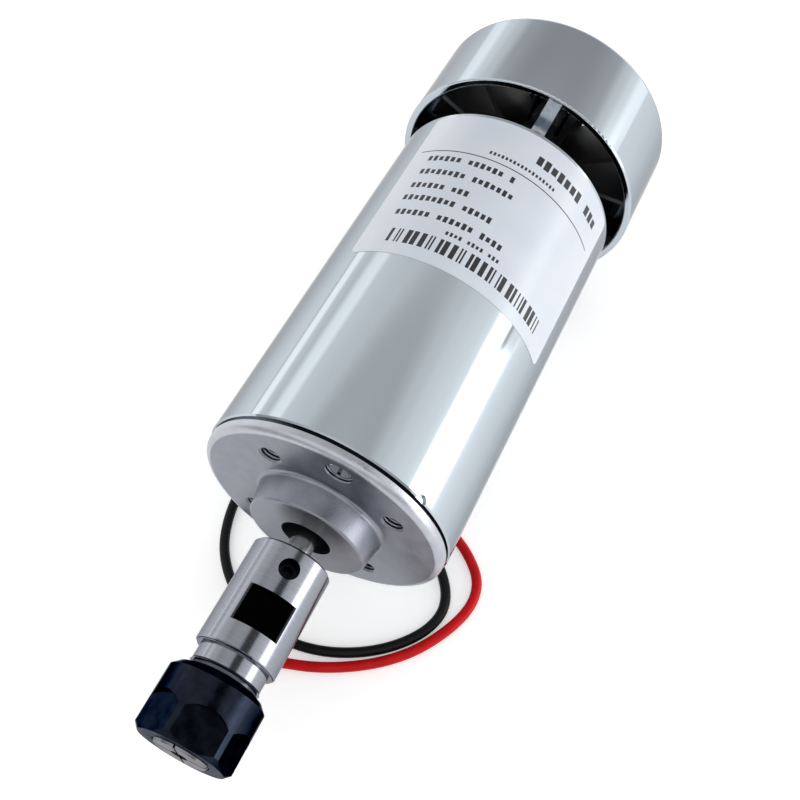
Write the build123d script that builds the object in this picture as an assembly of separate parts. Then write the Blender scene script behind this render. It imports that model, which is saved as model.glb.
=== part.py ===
from build123d import *
import os
from math import cos, pi, radians, sin, tan

# DC motor spindle with a collet holder on its shaft and a fan shroud at its rear.
# Millimetres. +X is the spindle axis towards the nose, +Z is up, and the origin is the
# middle of the front cap's mounting face. The spindle lies on its shroud and its leads.
# Clock angles turn about +X, from +Y towards +Z.

# --- Driving dimensions ---

# casing
tube_diameter = 52.0
tube_wall = 2.0
tube_length = 86.4
tube_end_bevel = 0.3
stake_radius = 1.3          # half-round stake mark in the tube's front edge
stake_depth = 0.5
stake_clock = 40.3
tie_clock = 75.6            # first of the two tie screws, the other is opposite
tie_inset = 3.5             # tie screws' axes, from the tube's bore

# front cap
cap_lip = 2.9               # rim that stands in front of the tube
cap_rim_drop = 0.35         # the rim is this much smaller in radius than the tube
cap_edge = 1.4              # rounding between the face and the rim
seam_width = 0.7            # dark groove between the rim and the tube
seam_depth = 0.8
cap_depth = 10.2            # from the mounting face to the cap's inner face
spigot_gap = 0.05
boss_height = 5.8
boss_front_radius = 12.2
boss_base_radius = 13.2
boss_edge = 0.6
boss_root = 0.9
boss_bore_radius = 5.25
mount_circle_radius = 18.0
mount_hole_radius = 2.0
mount_hole_depth = 8.0
mount_hole_count = 4
mount_hole_bevel = 0.35

# tie screws, stand-offs and shroud screws, all M3
m3_radius = 1.5
m3_clearance = 0.15         # radial, in through holes
m3_head_radius = 2.7
m3_head_height = 1.9
m3_head_rounding = 0.9
m3_slot_width = 0.7
m3_slot_depth = 0.9
head_recess_depth = 2.4
head_recess_gap = 0.1
tie_washer_radius = 3.4
tie_washer_thickness = 0.5
standoff_flats = 5.5
standoff_length = 7.5
shroud_screw_length = 4.0

# rear cap
rear_cap_inset = 1.3        # rear face, inside the tube's rear end
rear_cap_thickness = 8.4
tie_boss_height = 3.3
tie_boss_radius = 3.3
rear_shaft_gap = 1.0

# front bearing 608 and rear bearing 626
front_bearing = {"bore": 8.0, "outer": 22.0, "width": 7.0, "ball": 3.97, "count": 7}
rear_bearing = {"bore": 6.0, "outer": 19.0, "width": 6.0, "ball": 3.5, "count": 7}
bearing_groove_gap = 0.05   # radial, between balls and grooves
bearing_shield = 0.35
cap_floor = 2.6             # from the mounting face to the front bearing's seat
wave_washer_thickness = 0.5

# shaft
nose_shaft_radius = 2.5
shaft_step_length = 1.2     # 8 mm journal in front of the front bearing
core_shaft_radius = 5.0
rear_shaft_tail = 2.2       # shaft beyond the fan's hub

# rotor
air_gap = 0.6
magnet_thickness = 6.4
magnet_arc = 148.0
magnet_overhang = 4.0       # beyond each end of the core
magnet_glue = 0.05
winding_end_gap = 3.5       # winding to front cap
winding_overhang = 6.5
slot_count = 12
slot_width = 3.2
slot_mouth = 1.6
slot_bottom_radius = 9.4
slot_lip = 1.2
slot_liner = 0.1

# commutator and brush gear
commutator_radius = 8.0
commutator_length = 11.0
commutator_gap = 1.0        # to the rear cap
commutator_hub_wall = 1.3
bar_count = 12
bar_slit = 0.4
riser_radius = 9.6
riser_length = 1.5
winding_commutator_gap = 2.0
brush_plate_thickness = 1.6
brush_plate_gap = 0.8       # to the tube's bore
brush_plate_hole_radius = 10.4
plate_screw_radius = 1.25
plate_screw_inset = 5.7     # screws' axes, from the plate's edge
plate_screw_depth = 5.0
plate_screw_head_radius = 2.3
plate_screw_head_height = 1.3
plate_screw_clock = 40.0    # one on each side
brush_width = 6.0           # along the axis
brush_thickness = 4.5       # around the axis
brush_length = 7.0
brush_gap = 0.05            # brush tip to commutator
brush_side_gap = 0.1
brush_lift = 1.5
holder_wall = 0.7
holder_start_radius = 10.9
holder_end_gap = 2.6        # to the tube's bore
holder_foot = 1.0
holder_foot_ledge = 1.0     # foot, beyond each side of the guide
terminal_strip_width = 4.0
spring_wire_radius = 0.25
spring_coil_radius = 1.6
spring_turns = 4.5

# lead terminals
terminal_radius = 1.1
terminal_inset = 4.08       # posts' axes, from the tube's bore
terminal_spread = 37.043    # degrees each side from straight down
terminal_proud = 1.5        # beyond the rear cap
bush_radius = 2.4
bush_flange_radius = 3.2
bush_flange = 0.6

# fan and shroud
shroud_step = 2.85          # the shroud's radius is this much more than the tube's
shroud_wall = 1.7
shroud_length = 23.7
shroud_floor = 1.3
shroud_corner = 1.2
ear_setback = 1.8           # ear, behind the shroud's front rim
ear_thickness = 1.2
ear_width = 8.0
ear_edge = 3.0              # beyond the stand-off's axis, towards the middle
slot_row_inner = 9.0
slot_row_outer = 22.5
shroud_slot_width = 4.0
shroud_slot_count = 12
fan_setback = 5.7           # blades, behind the shroud's front rim
fan_length = 13.3
fan_tip_gap = 1.7
blade_count = 12
blade_thickness = 1.2
blade_clock = 27.8
fan_hub_radius = 8.0
fan_hub_setback = 1.0
fan_clip_radius = 4.5
fan_clip_thickness = 0.6

# collet holder, set screws, collet and nut
holder_gap = 5.15           # from the boss's face to the holder
holder_radius = 8.0
holder_length = 21.35
holder_edge = 0.4
shaft_depth_in_holder = 16.5
neck_radius = 6.8
neck_length = 3.0
thread_radius = 7.0
thread_length = 10.1
thread_pitch = 0.75
thread_depth = 0.35
thread_gap = 0.08           # radial, between nut and holder
rotor_clock = 71.7          # wrench flat and set screw
wrench_flat_distance = 6.5
wrench_flat_start = 9.4     # from the holder's rear face
wrench_flat_length = 7.3
set_screw_radius = 2.0
set_screw_position = 4.25   # from the holder's rear face
set_screw_length = 3.2
set_screw_socket_flats = 2.0
set_screw_socket_depth = 1.5
nut_start = 4.7             # from the holder's front shoulder
nut_radius = 9.5
nut_length = 13.1
nut_rear_bevel = 1.2
nut_front_bevel = 1.0
nut_flats = 17.0
nut_flat_start = 5.9        # from the nut's rear face
nut_arch_radius = 7.0
nut_hex_clock = 8.0
nut_mouth_radius = 5.6
nut_lip_length = 1.6
collet_length = 18.0
collet_radius = 5.75
collet_bore_radius = 1.5875  # 3.175 mm tool shank
collet_taper = 8.0          # degrees, half angle
collet_face_taper = 30.0
collet_groove_length = 2.0
collet_groove_depth = 0.8
collet_head_length = 2.3
collet_slits = 4            # from each end, overlapping
collet_slit_width = 0.4
collet_slit_length = 13.0
collet_proud = 0.4
seat_gap = 0.05             # collet to its taper

# label on the tube
label_thickness = 0.06
label_inset = 1.1           # from the tube's rear end
label_length = 42.7
label_start = 14.0
label_end = 128.0

# leads
lead_diameter = 2.2
lead_tip_radius = 0.7
lead_tip_length = 5.0
lead_start_run = 2.4        # straight out of the terminal

# --- Places that follow from them ---
tube_radius = tube_diameter / 2
tube_bore = tube_radius - tube_wall
tube_front = -cap_lip
tube_rear = tube_front - tube_length
cap_rear = -cap_depth
cap_radius = tube_radius - cap_rim_drop
rim_rear = tube_front + seam_width
tie_circle_radius = tube_bore - tie_inset
rear_cap_rear = tube_rear + rear_cap_inset
rear_cap_front = rear_cap_rear + rear_cap_thickness
front_bearing_front = -cap_floor
front_bearing_rear = front_bearing_front - front_bearing["width"]
rear_bearing_front = rear_cap_front - 0.3
rear_bearing_rear = rear_bearing_front - rear_bearing["width"]
rear_pocket = rear_bearing_rear - wave_washer_thickness
core_radius = tube_bore - magnet_glue - magnet_thickness - air_gap
commutator_rear = rear_cap_front + commutator_gap
commutator_front = commutator_rear + commutator_length
winding_front = cap_rear - winding_end_gap
winding_rear = commutator_front + winding_commutator_gap
core_front = winding_front - winding_overhang
core_rear = winding_rear + winding_overhang
plate_front = rear_cap_front + brush_plate_thickness
holder_outer_width = brush_width + 2 * (brush_side_gap + holder_wall)
holder_outer_thickness = brush_thickness + 2 * (brush_side_gap + holder_wall)
brush_x = plate_front + holder_foot + holder_outer_width / 2
brush_back = commutator_radius + brush_gap + brush_length
brush_plate_radius = tube_bore - brush_plate_gap
plate_screw_circle = brush_plate_radius - plate_screw_inset
plate_screw_clocks = (plate_screw_clock, 180 - plate_screw_clock)
holder_end_radius = tube_bore - holder_end_gap
terminal_y = (tube_bore - terminal_inset) * sin(radians(terminal_spread))
terminal_z = -(tube_bore - terminal_inset) * cos(radians(terminal_spread))
shroud_radius = tube_radius + shroud_step
shroud_bore = shroud_radius - shroud_wall
boss_rear = rear_cap_rear - tie_boss_height
standoff_front = boss_rear - tie_washer_thickness
standoff_rear = standoff_front - standoff_length
ear_front = standoff_rear
shroud_front = ear_front + ear_setback
shroud_rear = shroud_front - shroud_length
fan_front = shroud_front - fan_setback
fan_rear = fan_front - fan_length
shaft_rear = fan_rear - rear_shaft_tail
collet_holder_rear = boss_height + holder_gap
shoulder_x = collet_holder_rear + holder_length
thread_end = shoulder_x + neck_length + thread_length
nut_rear = shoulder_x + nut_start
nut_front = nut_rear + nut_length
collet_front = nut_front + collet_proud
collet_rear = collet_front - collet_length
floor_z = -shroud_radius
lead_z = floor_z + lead_diameter / 2


def turned(*points, rounded=()):
    """A solid turned about the spindle axis from (x, radius) points.

    rounded lists the corners to round off, as (x, radius, size of the rounding).
    """
    profile = make_face(Polyline(*points, close=True))
    for x, radius, size in rounded:
        corner = profile.vertices().sort_by_distance((x, radius))[0]
        profile = fillet(corner, size)
    return revolve(profile, Axis.X)


def ring(x0, x1, inner, outer):
    return turned((x0, inner), (x1, inner), (x1, outer), (x0, outer))


def bar(x0, x1, radius, y=0.0, z=0.0):
    """A round bar parallel to the spindle axis."""
    return Pos((x0 + x1) / 2, y, z) * Rot(Y=90) * Cylinder(radius, abs(x1 - x0))


def block(x0, x1, y0, y1, z0, z1):
    middle = Pos((x0 + x1) / 2, (y0 + y1) / 2, (z0 + z1) / 2)
    return middle * Box(abs(x1 - x0), abs(y1 - y0), abs(z1 - z0))


def spoke(radius, inner, outer, x, clock):
    """A round bar that points away from the axis."""
    upright = Pos(x, (inner + outer) / 2, 0) * Rot(X=90) * Cylinder(radius, outer - inner)
    return Rot(X=clock) * upright


def hexagon(x0, x1, flats):
    """A hexagonal bar on the spindle axis, with a flat facing +Y."""
    outline = Plane.YZ.offset(min(x0, x1)) * Rot(Z=30) * RegularPolygon(flats / 2, 6, False)
    return extrude(outline, abs(x1 - x0))


def on_circle(radius, clock):
    return radius * cos(radians(clock)), radius * sin(radians(clock))


def tie_places():
    return [on_circle(tie_circle_radius, tie_clock + turn) for turn in (0, 180)]


def tie_shanks(x0, x1, radius):
    return [bar(x0, x1, radius, y, z) for y, z in tie_places()]


def save(name, *solids):
    shape = solids[0] if len(solids) == 1 else Compound(children=[Part() + s for s in solids])
    export_step(shape, f"parts/{name}.step")


# --- Casing ---

def motor_tube():
    tube = turned(
        (tube_rear, tube_bore), (tube_front, tube_bore),
        (tube_front, tube_radius - tube_end_bevel), (tube_front - tube_end_bevel, tube_radius),
        (tube_rear + tube_end_bevel, tube_radius), (tube_rear, tube_radius - tube_end_bevel),
    )
    return tube - spoke(stake_radius, tube_radius - stake_depth, tube_radius + 1, tube_front,
                        stake_clock)


def front_cap():
    flank = boss_front_radius
    cap = turned(
        (-cap_floor, boss_bore_radius), (boss_height, boss_bore_radius),
        (boss_height, flank), (0, boss_base_radius),
        (0, cap_radius), (rim_rear, cap_radius),
        (rim_rear, cap_radius - seam_depth), (tube_front, cap_radius - seam_depth),
        (tube_front, tube_bore - spigot_gap), (cap_rear, tube_bore - spigot_gap),
        (cap_rear, front_bearing["outer"] / 2), (-cap_floor, front_bearing["outer"] / 2),
        rounded=[
            (boss_height, flank, boss_edge), (0, boss_base_radius, boss_root),
            (0, cap_radius, cap_edge),
        ],
    )
    for n in range(mount_hole_count):
        clock = tie_clock + 45 + n * 360 / mount_hole_count
        y, z = on_circle(mount_circle_radius, clock)
        cap -= bar(-mount_hole_depth, 1, mount_hole_radius, y, z)
        mouth = Cone(mount_hole_radius, mount_hole_radius + mount_hole_bevel, mount_hole_bevel)
        cap -= Pos(-mount_hole_bevel / 2, y, z) * Rot(Y=90) * mouth
    for hole in tie_shanks(cap_rear - 1, 0, m3_radius + m3_clearance):
        cap -= hole
    for recess in tie_shanks(-head_recess_depth, 1, m3_head_radius + head_recess_gap):
        cap -= recess
    return cap


def rear_cap():
    outer = tube_bore - spigot_gap
    cap = turned(
        (rear_cap_rear, rear_bearing["bore"] / 2 + rear_shaft_gap),
        (rear_pocket, rear_bearing["bore"] / 2 + rear_shaft_gap),
        (rear_pocket, rear_bearing["outer"] / 2), (rear_cap_front, rear_bearing["outer"] / 2),
        (rear_cap_front, outer), (rear_cap_rear, outer),
    )
    for boss in tie_shanks(boss_rear, rear_cap_rear + 1, tie_boss_radius):
        cap += boss
    for hole in tie_shanks(boss_rear - 1, rear_cap_front + 1, m3_radius + m3_clearance):
        cap -= hole
    for y in (-terminal_y, terminal_y):
        cap -= bar(rear_cap_rear - 1, rear_cap_front + 1, bush_radius, y, terminal_z)
    for y, z in plate_screw_places():
        cap -= bar(plate_front - plate_screw_depth, rear_cap_front + 1, plate_screw_radius, y, z)
    return cap


def screw_head(x0, x1, y, z):
    """A slotted pan head whose rounded face is at x1; the slot points away from the axis."""
    head = bar(x0, x1, m3_head_radius)
    rim = head.edges().sort_by(Axis.X)[0 if x0 > x1 else -1]
    head = fillet(rim, m3_head_rounding)
    slot_end = x1 + m3_slot_depth * (1 if x0 > x1 else -1)
    head -= block(slot_end, x1, -m3_head_radius, m3_head_radius,
                  -m3_slot_width / 2, m3_slot_width / 2)
    return Pos(0, y, z) * Rot(X=tie_clock) * head


def tie_screws():
    """Long screws that hold both caps on the tube, with their heads in the front cap."""
    shank_end = standoff_front - standoff_length / 2
    return [
        bar(shank_end, -head_recess_depth, m3_radius, y, z)
        + screw_head(-head_recess_depth, m3_head_height - head_recess_depth, y, z)
        for y, z in tie_places()
    ]


def tie_washers():
    return [
        bar(standoff_front, boss_rear, tie_washer_radius, y, z)
        - bar(standoff_front - 1, boss_rear + 1, m3_radius, y, z)
        for y, z in tie_places()
    ]


def standoffs():
    solids = []
    for y, z in tie_places():
        hexed = Rot(X=tie_clock) * hexagon(standoff_rear, standoff_front, standoff_flats)
        solids.append(
            Pos(0, y, z) * hexed - bar(standoff_rear - 1, standoff_front + 1, m3_radius, y, z)
        )
    return solids


# --- Bearings ---

def bearing(size, rear):
    """Outer ring, inner ring, balls, cage and shields of a ball bearing."""
    front = rear + size["width"]
    middle = (rear + front) / 2
    bore, outer = size["bore"] / 2, size["outer"] / 2
    pitch, ball = (bore + outer) / 2, size["ball"] / 2
    land = 0.45 * ball
    groove = Pos(middle, 0, 0) * Rot(Y=90) * Torus(pitch, ball + bearing_groove_gap)
    outer_ring = ring(rear, front, pitch + land, outer) - groove
    inner_ring = ring(rear, front, bore, pitch - land) - groove
    balls = []
    for n in range(size["count"]):
        y, z = on_circle(pitch, n * 360 / size["count"])
        balls.append(Pos(middle, y, z) * Sphere(ball))
    shields = []
    for edge, way in ((rear, 1), (front, -1)):
        inner_edge = edge + way * bearing_shield
        shields.append(ring(edge, inner_edge, pitch - land + 0.2, pitch + land))
    return outer_ring, inner_ring, balls, shields


def ball_cage(size, rear):
    """A ring with a round radial pocket for each ball."""
    middle = rear + size["width"] / 2
    pitch, ball = (size["bore"] + size["outer"]) / 4, size["ball"] / 2
    half = ball + 0.4
    cage = ring(middle - half, middle + half, pitch - 0.3, pitch + 0.3)
    for n in range(size["count"]):
        cage -= spoke(ball + bearing_groove_gap, 0, 2 * pitch, middle, n * 360 / size["count"])
    return cage


def wave_washer():
    return ring(rear_pocket, rear_bearing_rear, rear_bearing["outer"] / 2 - 2.4,
                rear_bearing["outer"] / 2 - 0.3)


# --- Rotor ---

def motor_shaft():
    nose_end = collet_holder_rear + shaft_depth_in_holder
    front_journal = front_bearing["bore"] / 2
    rear_journal = rear_bearing["bore"] / 2
    step = front_bearing_front + shaft_step_length
    return turned(
        (shaft_rear, 0), (nose_end, 0), (nose_end, nose_shaft_radius),
        (step, nose_shaft_radius), (step, front_journal),
        (front_bearing_rear, front_journal), (front_bearing_rear, core_shaft_radius),
        (rear_bearing_front, core_shaft_radius), (rear_bearing_front, rear_journal),
        (rear_cap_rear - 1, rear_journal), (rear_cap_rear - 1, nose_shaft_radius),
        (shaft_rear, nose_shaft_radius),
    )


def slot_shapes(clearance):
    """The rotor's slots, each a rounded trench with a narrower mouth."""
    half = slot_width / 2 - clearance
    slots = []
    for n in range(slot_count):
        bottom, top = slot_bottom_radius + clearance, core_radius - slot_lip - clearance
        slot = block(core_rear, core_front, bottom, top, -half, half)
        slots.append(Rot(X=n * 360 / slot_count) * slot)
    return slots


def rotor_core():
    core = ring(core_rear, core_front, core_shaft_radius, core_radius)
    for slot in slot_shapes(0):
        core -= slot
    for n in range(slot_count):
        mouth = block(core_rear, core_front, core_radius - slot_lip - 0.1, core_radius + 1,
                      -slot_mouth / 2, slot_mouth / 2)
        core -= Rot(X=n * 360 / slot_count) * mouth
    return core


def windings():
    inner, outer = core_shaft_radius + 1.5, core_radius - slot_lip
    bend = winding_overhang / 3
    def end_turns(face, tip, way):
        return turned(
            (face, inner), (tip + way * bend, inner), (tip, inner + bend),
            (tip, outer - bend), (tip + way * bend, outer), (face, outer),
        )
    coil = end_turns(core_front, winding_front, -1) + end_turns(core_rear, winding_rear, 1)
    for slot in slot_shapes(slot_liner):
        coil += slot
    return coil


def commutator_hub():
    return ring(commutator_rear, commutator_front, core_shaft_radius,
                core_shaft_radius + commutator_hub_wall)


def commutator_bars():
    seat = core_shaft_radius + commutator_hub_wall
    copper = turned(
        (commutator_rear, seat), (commutator_front, seat),
        (commutator_front, riser_radius), (commutator_front - riser_length, riser_radius),
        (commutator_front - riser_length, commutator_radius), (commutator_rear, commutator_radius),
    )
    for n in range(bar_count):
        slit = block(commutator_rear - 1, commutator_front + 1, 0, riser_radius + 1,
                     -bar_slit / 2, bar_slit / 2)
        copper -= Rot(X=(n + 0.5) * 360 / bar_count) * slit
    return copper.solids()


def magnets():
    """Two arc magnets, centred between the tie screws."""
    outer = tube_bore - magnet_glue
    profile = make_face(Polyline(
        (core_rear - magnet_overhang, outer - magnet_thickness),
        (core_front + magnet_overhang, outer - magnet_thickness),
        (core_front + magnet_overhang, outer), (core_rear - magnet_overhang, outer), close=True,
    ))
    arc = Rot(X=tie_clock + 90 - magnet_arc / 2) * revolve(profile, Axis.X, magnet_arc)
    return [arc, Rot(X=180) * arc]


# --- Brush gear ---

def plate_screw_places():
    return [on_circle(plate_screw_circle, clock) for clock in plate_screw_clocks]


def brush_plate():
    plate = ring(rear_cap_front, plate_front, brush_plate_hole_radius, brush_plate_radius)
    for hole in tie_shanks(rear_cap_front - 1, plate_front + 1, m3_radius + 2 * m3_clearance):
        plate -= hole
    for y in (-terminal_y, terminal_y):
        plate -= bar(rear_cap_front - 1, plate_front + 1, terminal_radius, y, terminal_z)
    for y, z in plate_screw_places():
        plate -= bar(rear_cap_front - 1, plate_front + 1, plate_screw_radius, y, z)
    return plate


def brush_plate_screws():
    return [
        bar(plate_front - plate_screw_depth, plate_front, plate_screw_radius, y, z)
        + bar(plate_front, plate_front + plate_screw_head_height, plate_screw_head_radius, y, z)
        for y, z in plate_screw_places()
    ]


def brush(turn):
    block_half = brush_thickness / 2
    half = brush_width / 2
    carbon = block(brush_x - half, brush_x + half, commutator_radius - 1, brush_back,
                   -block_half, block_half)
    carbon -= bar(brush_x - brush_width, brush_x + brush_width, commutator_radius + brush_gap)
    return Rot(X=turn) * carbon


def brush_holder(side):
    """A rectangular brass guide with a foot, an end stop and a terminal strip."""
    half_width, half_height = holder_outer_width / 2, holder_outer_thickness / 2
    guide = block(brush_x - half_width, brush_x + half_width, holder_start_radius,
                  holder_end_radius, -half_height, half_height)
    guide -= block(brush_x - half_width + holder_wall, brush_x + half_width - holder_wall,
                   0, holder_end_radius - holder_wall,
                   holder_wall - half_height, half_height - holder_wall)
    foot = block(plate_front, plate_front + holder_foot, holder_start_radius + 0.6,
                 holder_end_radius, -half_height - holder_foot_ledge,
                half_height + holder_foot_ledge)
    strip_half = terminal_strip_width / 2
    strip = block(plate_front, plate_front + holder_foot, terminal_y - strip_half,
                  terminal_y + strip_half, terminal_z - strip_half, 0)
    strip -= bar(plate_front - 1, plate_front + 2 * holder_foot, terminal_radius,
                 terminal_y, terminal_z)
    solid = guide + foot + strip
    return solid if side > 0 else mirror(solid, Plane.XZ)


def brush_spring(turn):
    start = brush_back + spring_wire_radius + 0.02
    end = holder_end_radius - holder_wall - spring_wire_radius - 0.02
    pitch = (end - start) / spring_turns
    helix = Helix(pitch, end - start, spring_coil_radius)
    wire = sweep(Plane(origin=helix @ 0, z_dir=helix % 0) * Circle(spring_wire_radius), helix)
    return Rot(X=turn) * Pos(brush_x, start, 0) * Rot(X=-90) * wire


def terminal_posts():
    front = plate_front + 2 * holder_foot
    return [bar(rear_cap_rear - terminal_proud, front, terminal_radius, y, terminal_z)
            for y in (-terminal_y, terminal_y)]


def terminal_bushes():
    solids = []
    for y in (-terminal_y, terminal_y):
        sleeve = bar(rear_cap_rear, rear_cap_front, bush_radius, y, terminal_z)
        flange = bar(rear_cap_rear - bush_flange, rear_cap_rear, bush_flange_radius, y, terminal_z)
        bore = bar(rear_cap_rear - 2, rear_cap_front + 1, terminal_radius, y, terminal_z)
        solids.append(sleeve + flange - bore)
    return solids


# --- Fan and shroud ---

def fan():
    tip = shroud_bore - fan_tip_gap
    hub_front = fan_front - fan_hub_setback
    wheel = ring(fan_rear, hub_front, nose_shaft_radius, fan_hub_radius)
    half = blade_thickness / 2
    for n in range(blade_count):
        blade = block(fan_rear, fan_front, fan_hub_radius - 1, tip, -half, half)
        wheel += Rot(X=blade_clock + n * 360 / blade_count) * blade
    return wheel


def fan_clip():
    return ring(fan_rear - fan_clip_thickness, fan_rear, nose_shaft_radius, fan_clip_radius)


def fan_shroud():
    """A drawn cup with two ears behind its front rim and a ring of air slots in its floor."""
    cup = turned(
        (shroud_rear, 0), (shroud_rear, shroud_radius), (shroud_front, shroud_radius),
        (shroud_front, shroud_bore), (shroud_rear + shroud_floor, shroud_bore),
        (shroud_rear + shroud_floor, 0),
        rounded=[
            (shroud_rear, shroud_radius, shroud_corner), (shroud_front, shroud_radius, 0.4),
            (shroud_front, shroud_bore, 0.3),
            (shroud_rear + shroud_floor, shroud_bore, shroud_corner / 3),
        ],
    )
    for turn in (0, 180):
        ear = block(ear_front - ear_thickness, ear_front, tie_circle_radius - ear_edge,
                    shroud_bore + shroud_wall / 2, -ear_width / 2, ear_width / 2)
        cup += Rot(X=tie_clock + turn) * ear
    for hole in tie_shanks(ear_front - ear_thickness - 1, ear_front + 1, m3_radius + m3_clearance):
        cup -= hole
    half = shroud_slot_width / 2
    for n in range(shroud_slot_count):
        slot = block(shroud_rear - 1, shroud_rear + shroud_floor + 1,
                     slot_row_inner + half, slot_row_outer - half, -half, half)
        for end in (slot_row_inner + half, slot_row_outer - half):
            slot += bar(shroud_rear - 1, shroud_rear + shroud_floor + 1, half, end)
        cup -= Rot(X=tie_clock + n * 360 / shroud_slot_count) * slot
    return cup


def shroud_screws():
    head_front = ear_front - ear_thickness
    return [
        bar(head_front, head_front + shroud_screw_length, m3_radius, y, z)
        + screw_head(head_front, head_front - 0.8 * m3_head_height, y, z)
        for y, z in tie_places()
    ]


# --- Collet holder, collet and nut ---

def taper_radius(x):
    """Radius of the holder's taper, which opens towards the nose."""
    return collet_radius + seat_gap - (taper_mouth - x) * tan(radians(collet_taper))


taper_mouth = collet_front - collet_head_length - collet_groove_length
taper_end = collet_rear - 1.0


def thread_rings(start, length):
    """Points of a row of V-shaped rings that stand for a thread."""
    count = int(length / thread_pitch)
    points = []
    for n in range(count):
        root = start + n * thread_pitch
        points += [(root, thread_radius - thread_depth), (root + thread_pitch / 2, thread_radius)]
    return points + [(start + count * thread_pitch, thread_radius - thread_depth)]


def collet_holder():
    body = turned(
        (collet_holder_rear, nose_shaft_radius),
        (collet_holder_rear, holder_radius - holder_edge),
        (collet_holder_rear + holder_edge, holder_radius),
        (shoulder_x - holder_edge, holder_radius), (shoulder_x, holder_radius - holder_edge),
        (shoulder_x, neck_radius), (shoulder_x + neck_length, neck_radius),
        *thread_rings(shoulder_x + neck_length, thread_length),
        (thread_end, thread_radius - thread_depth), (thread_end, taper_radius(thread_end)),
        (taper_end, taper_radius(taper_end)),
        (taper_end, nose_shaft_radius),
    )
    start = collet_holder_rear + wrench_flat_start
    end = start + wrench_flat_length
    trench = block(start, end, wrench_flat_distance, holder_radius + 1,
                   -holder_radius, holder_radius)
    for turn in (0, 180):
        body -= Rot(X=rotor_clock + turn) * trench
        body -= spoke(set_screw_radius, 0, holder_radius + 1,
                      collet_holder_rear + set_screw_position, rotor_clock + turn)
    return body


def set_screws():
    solids = []
    inner = nose_shaft_radius
    outer = inner + set_screw_length
    x = collet_holder_rear + set_screw_position
    socket = Plane.XZ.offset(-outer) * RegularPolygon(set_screw_socket_flats / 2, 6, False)
    socket = Pos(x, 0, 0) * extrude(socket, set_screw_socket_depth)
    # the tip is hollowed to the shaft it presses on
    shaft_face = bar(x - 2 * set_screw_radius, x + 2 * set_screw_radius, inner)
    for turn in (0, 180):
        screw = spoke(set_screw_radius, inner - 0.5, outer, x, 0) - shaft_face - socket
        solids.append(Rot(X=rotor_clock + turn) * screw)
    return solids


def collet():
    head = collet_front - collet_head_length
    groove = head - collet_groove_length
    face_radius = collet_radius - collet_head_length * tan(radians(collet_face_taper)) / 2
    tail_radius = collet_radius - (groove - collet_rear) * tan(radians(collet_taper))
    body = turned(
        (collet_rear, collet_bore_radius), (collet_rear, tail_radius),
        (groove, collet_radius), (groove, collet_radius - collet_groove_depth),
        (head, collet_radius - collet_groove_depth), (head, collet_radius),
        (collet_front - collet_head_length / 2, collet_radius),
        (collet_front, face_radius), (collet_front, collet_bore_radius),
    )
    half = collet_slit_width / 2
    for n in range(collet_slits):
        front_slit = block(collet_front - collet_slit_length, collet_front + 1, 0,
                           collet_radius + 1, -half, half)
        rear_slit = block(collet_rear - 1, collet_rear + collet_slit_length, 0,
                          collet_radius + 1, -half, half)
        body -= Rot(X=n * 360 / collet_slits) * front_slit
        body -= Rot(X=(n + 0.5) * 360 / collet_slits) * rear_slit
    return body


def collet_nut():
    head = collet_front - collet_head_length
    lip_front, lip_rear = head - 0.2, head - 0.2 - nut_lip_length
    lip_radius = collet_radius - collet_groove_depth + 0.15
    cavity = collet_radius + 0.3
    nut = turned(
        (nut_rear, thread_radius + thread_gap),
        (nut_rear, nut_radius - nut_rear_bevel), (nut_rear + nut_rear_bevel, nut_radius),
        (nut_front - nut_front_bevel, nut_radius), (nut_front, nut_radius - nut_front_bevel),
        (nut_front, nut_mouth_radius), (nut_front - 1.2, cavity), (lip_front, cavity),
        (lip_front, lip_radius), (lip_rear, lip_radius), (lip_rear, thread_radius + thread_gap),
    )
    flat = nut_flats / 2
    start = nut_rear + nut_flat_start
    wide = nut_arch_radius
    for n in range(6):
        cut = block(start + wide, nut_front + 1, flat, nut_radius + 2, -wide, wide)
        cut += Pos(start + wide, flat + 1 + (nut_radius - flat) / 2, 0) * Rot(X=90) * Cylinder(
            wide, nut_radius - flat + 2)
        nut -= Rot(X=nut_hex_clock + n * 60) * cut
    return nut


# --- Label and leads ---

def label():
    x0, x1 = tube_rear + label_inset, tube_rear + label_inset + label_length
    profile = make_face(Polyline(
        (x0, tube_radius), (x1, tube_radius), (x1, tube_radius + label_thickness),
        (x0, tube_radius + label_thickness), close=True,
    ))
    sheet = revolve(profile, Axis.X, label_end - label_start)
    return Rot(X=label_start) * sheet


# From its terminal the red lead bends down, runs forward under the tube, swings out past
# the front cap's right side and round the nose, and ends under the collet nut.
terminal_end = rear_cap_rear - terminal_proud
red_route = [
    (terminal_end, terminal_y, terminal_z),
    (terminal_end - lead_start_run, terminal_y, terminal_z),
    (-95.0, 12.4, -19.0), (-95.0, 12.8, -23.9),
    (-91.5, 13.0, lead_z), (-83.0, 12.4, lead_z), (-70.0, 9.6, lead_z), (-54.0, 8.2, lead_z),
    (-39.0, 8.8, lead_z), (-27.4, 13.0, lead_z), (-20.4, 19.3, lead_z), (-17.2, 25.1, lead_z),
    (-11.6, 30.4, lead_z), (-4.0, 30.7, lead_z), (6.5, 25.5, lead_z), (13.9, 18.1, lead_z),
    (19.7, 7.9, lead_z), (22.5, -2.2, lead_z), (27.6, -9.0, lead_z), (36.0, -12.4, lead_z),
]
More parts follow.
